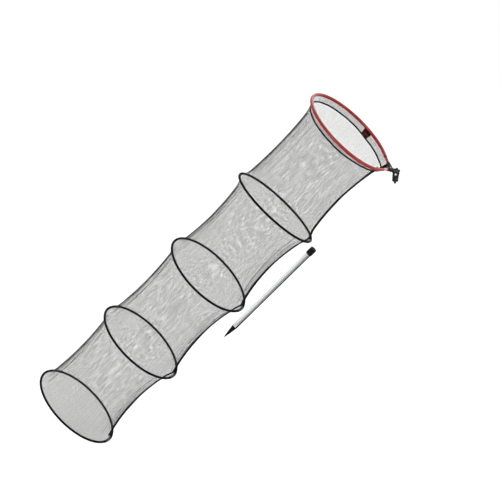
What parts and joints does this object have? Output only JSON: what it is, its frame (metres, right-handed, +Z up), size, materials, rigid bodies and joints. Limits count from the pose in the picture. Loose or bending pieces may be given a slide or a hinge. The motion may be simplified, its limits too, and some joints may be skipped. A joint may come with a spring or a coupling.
{
  "type": "keep net",
  "caption": "Round angler's keep net that hangs from a red mouth ring with a tilting threaded fitting, its mesh tube held open by hoops, with its ground spike.",
  "frame": {"origin": "centre of the flat end of the fitting's socket, where its brass stud leaves it and a bank stick seats", "axes": "+Z up, against the way the net hangs; the fitting points along +X from the mouth; the tilt bolt lies along Y"},
  "size_m": [0.4829, 0.4106, 1.713],
  "materials": {
    "ring_red": "gloss",
    "ring_end_red": "gloss",
    "fitting_black": "satin",
    "knob_black": "satin",
    "hoop_black": "satin",
    "ferrule_grey": "satin",
    "net_mesh": "matte",
    "collar_mesh": "matte",
    "tape_black": "matte",
    "label_maroon": "satin",
    "bright_steel": "polished",
    "brass": "satin",
    "aluminium": "satin",
    "spike_black": "satin"
  },
  "bodies": {
    "mouth": {"mouth_ring": "ring_red", "ring_end_front": "ring_end_red", "ring_end_rear": "ring_end_red", "ring_yoke": "fitting_black", "collar_mesh": "collar_mesh", "collar_binding_front": "tape_black", "collar_binding_rear": "tape_black", "hem_tape": "tape_black", "mouth_label": "label_maroon", "net_sleeve_1": "net_mesh", "seam_tape_1": "tape_black", "spike_cap": "spike_black", "spike_insert": "spike_black", "spike_tube": "aluminium", "spike_tip": "spike_black"},
    "socket": {"tilt_socket": "fitting_black", "brass_stud": "brass", "tilt_bolt": "bright_steel", "knob_washer": "bright_steel"},
    "knob": {"star_knob": "knob_black"},
    "hoop_body_1": {"hoop_1": "hoop_black", "hoop_ferrule_1": "ferrule_grey", "net_sleeve_2": "net_mesh", "seam_tape_2": "tape_black"},
    "hoop_body_2": {"hoop_2": "hoop_black", "hoop_ferrule_2": "ferrule_grey", "net_sleeve_3": "net_mesh", "seam_tape_3": "tape_black"},
    "hoop_body_3": {"hoop_3": "hoop_black", "hoop_ferrule_3": "ferrule_grey", "net_sleeve_4": "net_mesh", "seam_tape_4": "tape_black"},
    "hoop_body_4": {"hoop_4": "hoop_black", "hoop_ferrule_4": "ferrule_grey", "base_mesh": "net_mesh"}
  },
  "joints": [
    {"name": "tilt", "type": "hinge", "parent": "mouth", "child": "socket", "pos_m": [-0.01909, 0, 0.02443], "axis": [0, 1, 0], "range_deg": [-60, 60]},
    {"name": "knob_turn", "type": "hinge", "parent": "socket", "child": "knob", "pos_m": [-0.01909, 0.02, 0.02443], "axis": [0, 1, 0], "continuous": true},
    {"name": "fold_1", "type": "slide", "parent": "mouth", "child": "hoop_body_1", "axis": [0, 0, 1], "range_m": [0, 0.365], "deforming": ["net_sleeve_1", "seam_tape_1"]},
    {"name": "fold_2", "type": "slide", "parent": "hoop_body_1", "child": "hoop_body_2", "axis": [0, 0, 1], "range_m": [0, 0.365], "deforming": ["net_sleeve_2", "seam_tape_2"]},
    {"name": "fold_3", "type": "slide", "parent": "hoop_body_2", "child": "hoop_body_3", "axis": [0, 0, 1], "range_m": [0, 0.405], "deforming": ["net_sleeve_3", "seam_tape_3"]},
    {"name": "fold_4", "type": "slide", "parent": "hoop_body_3", "child": "hoop_body_4", "axis": [0, 0, 1], "range_m": [0, 0.395], "deforming": ["net_sleeve_4", "seam_tape_4"]}
  ]
}
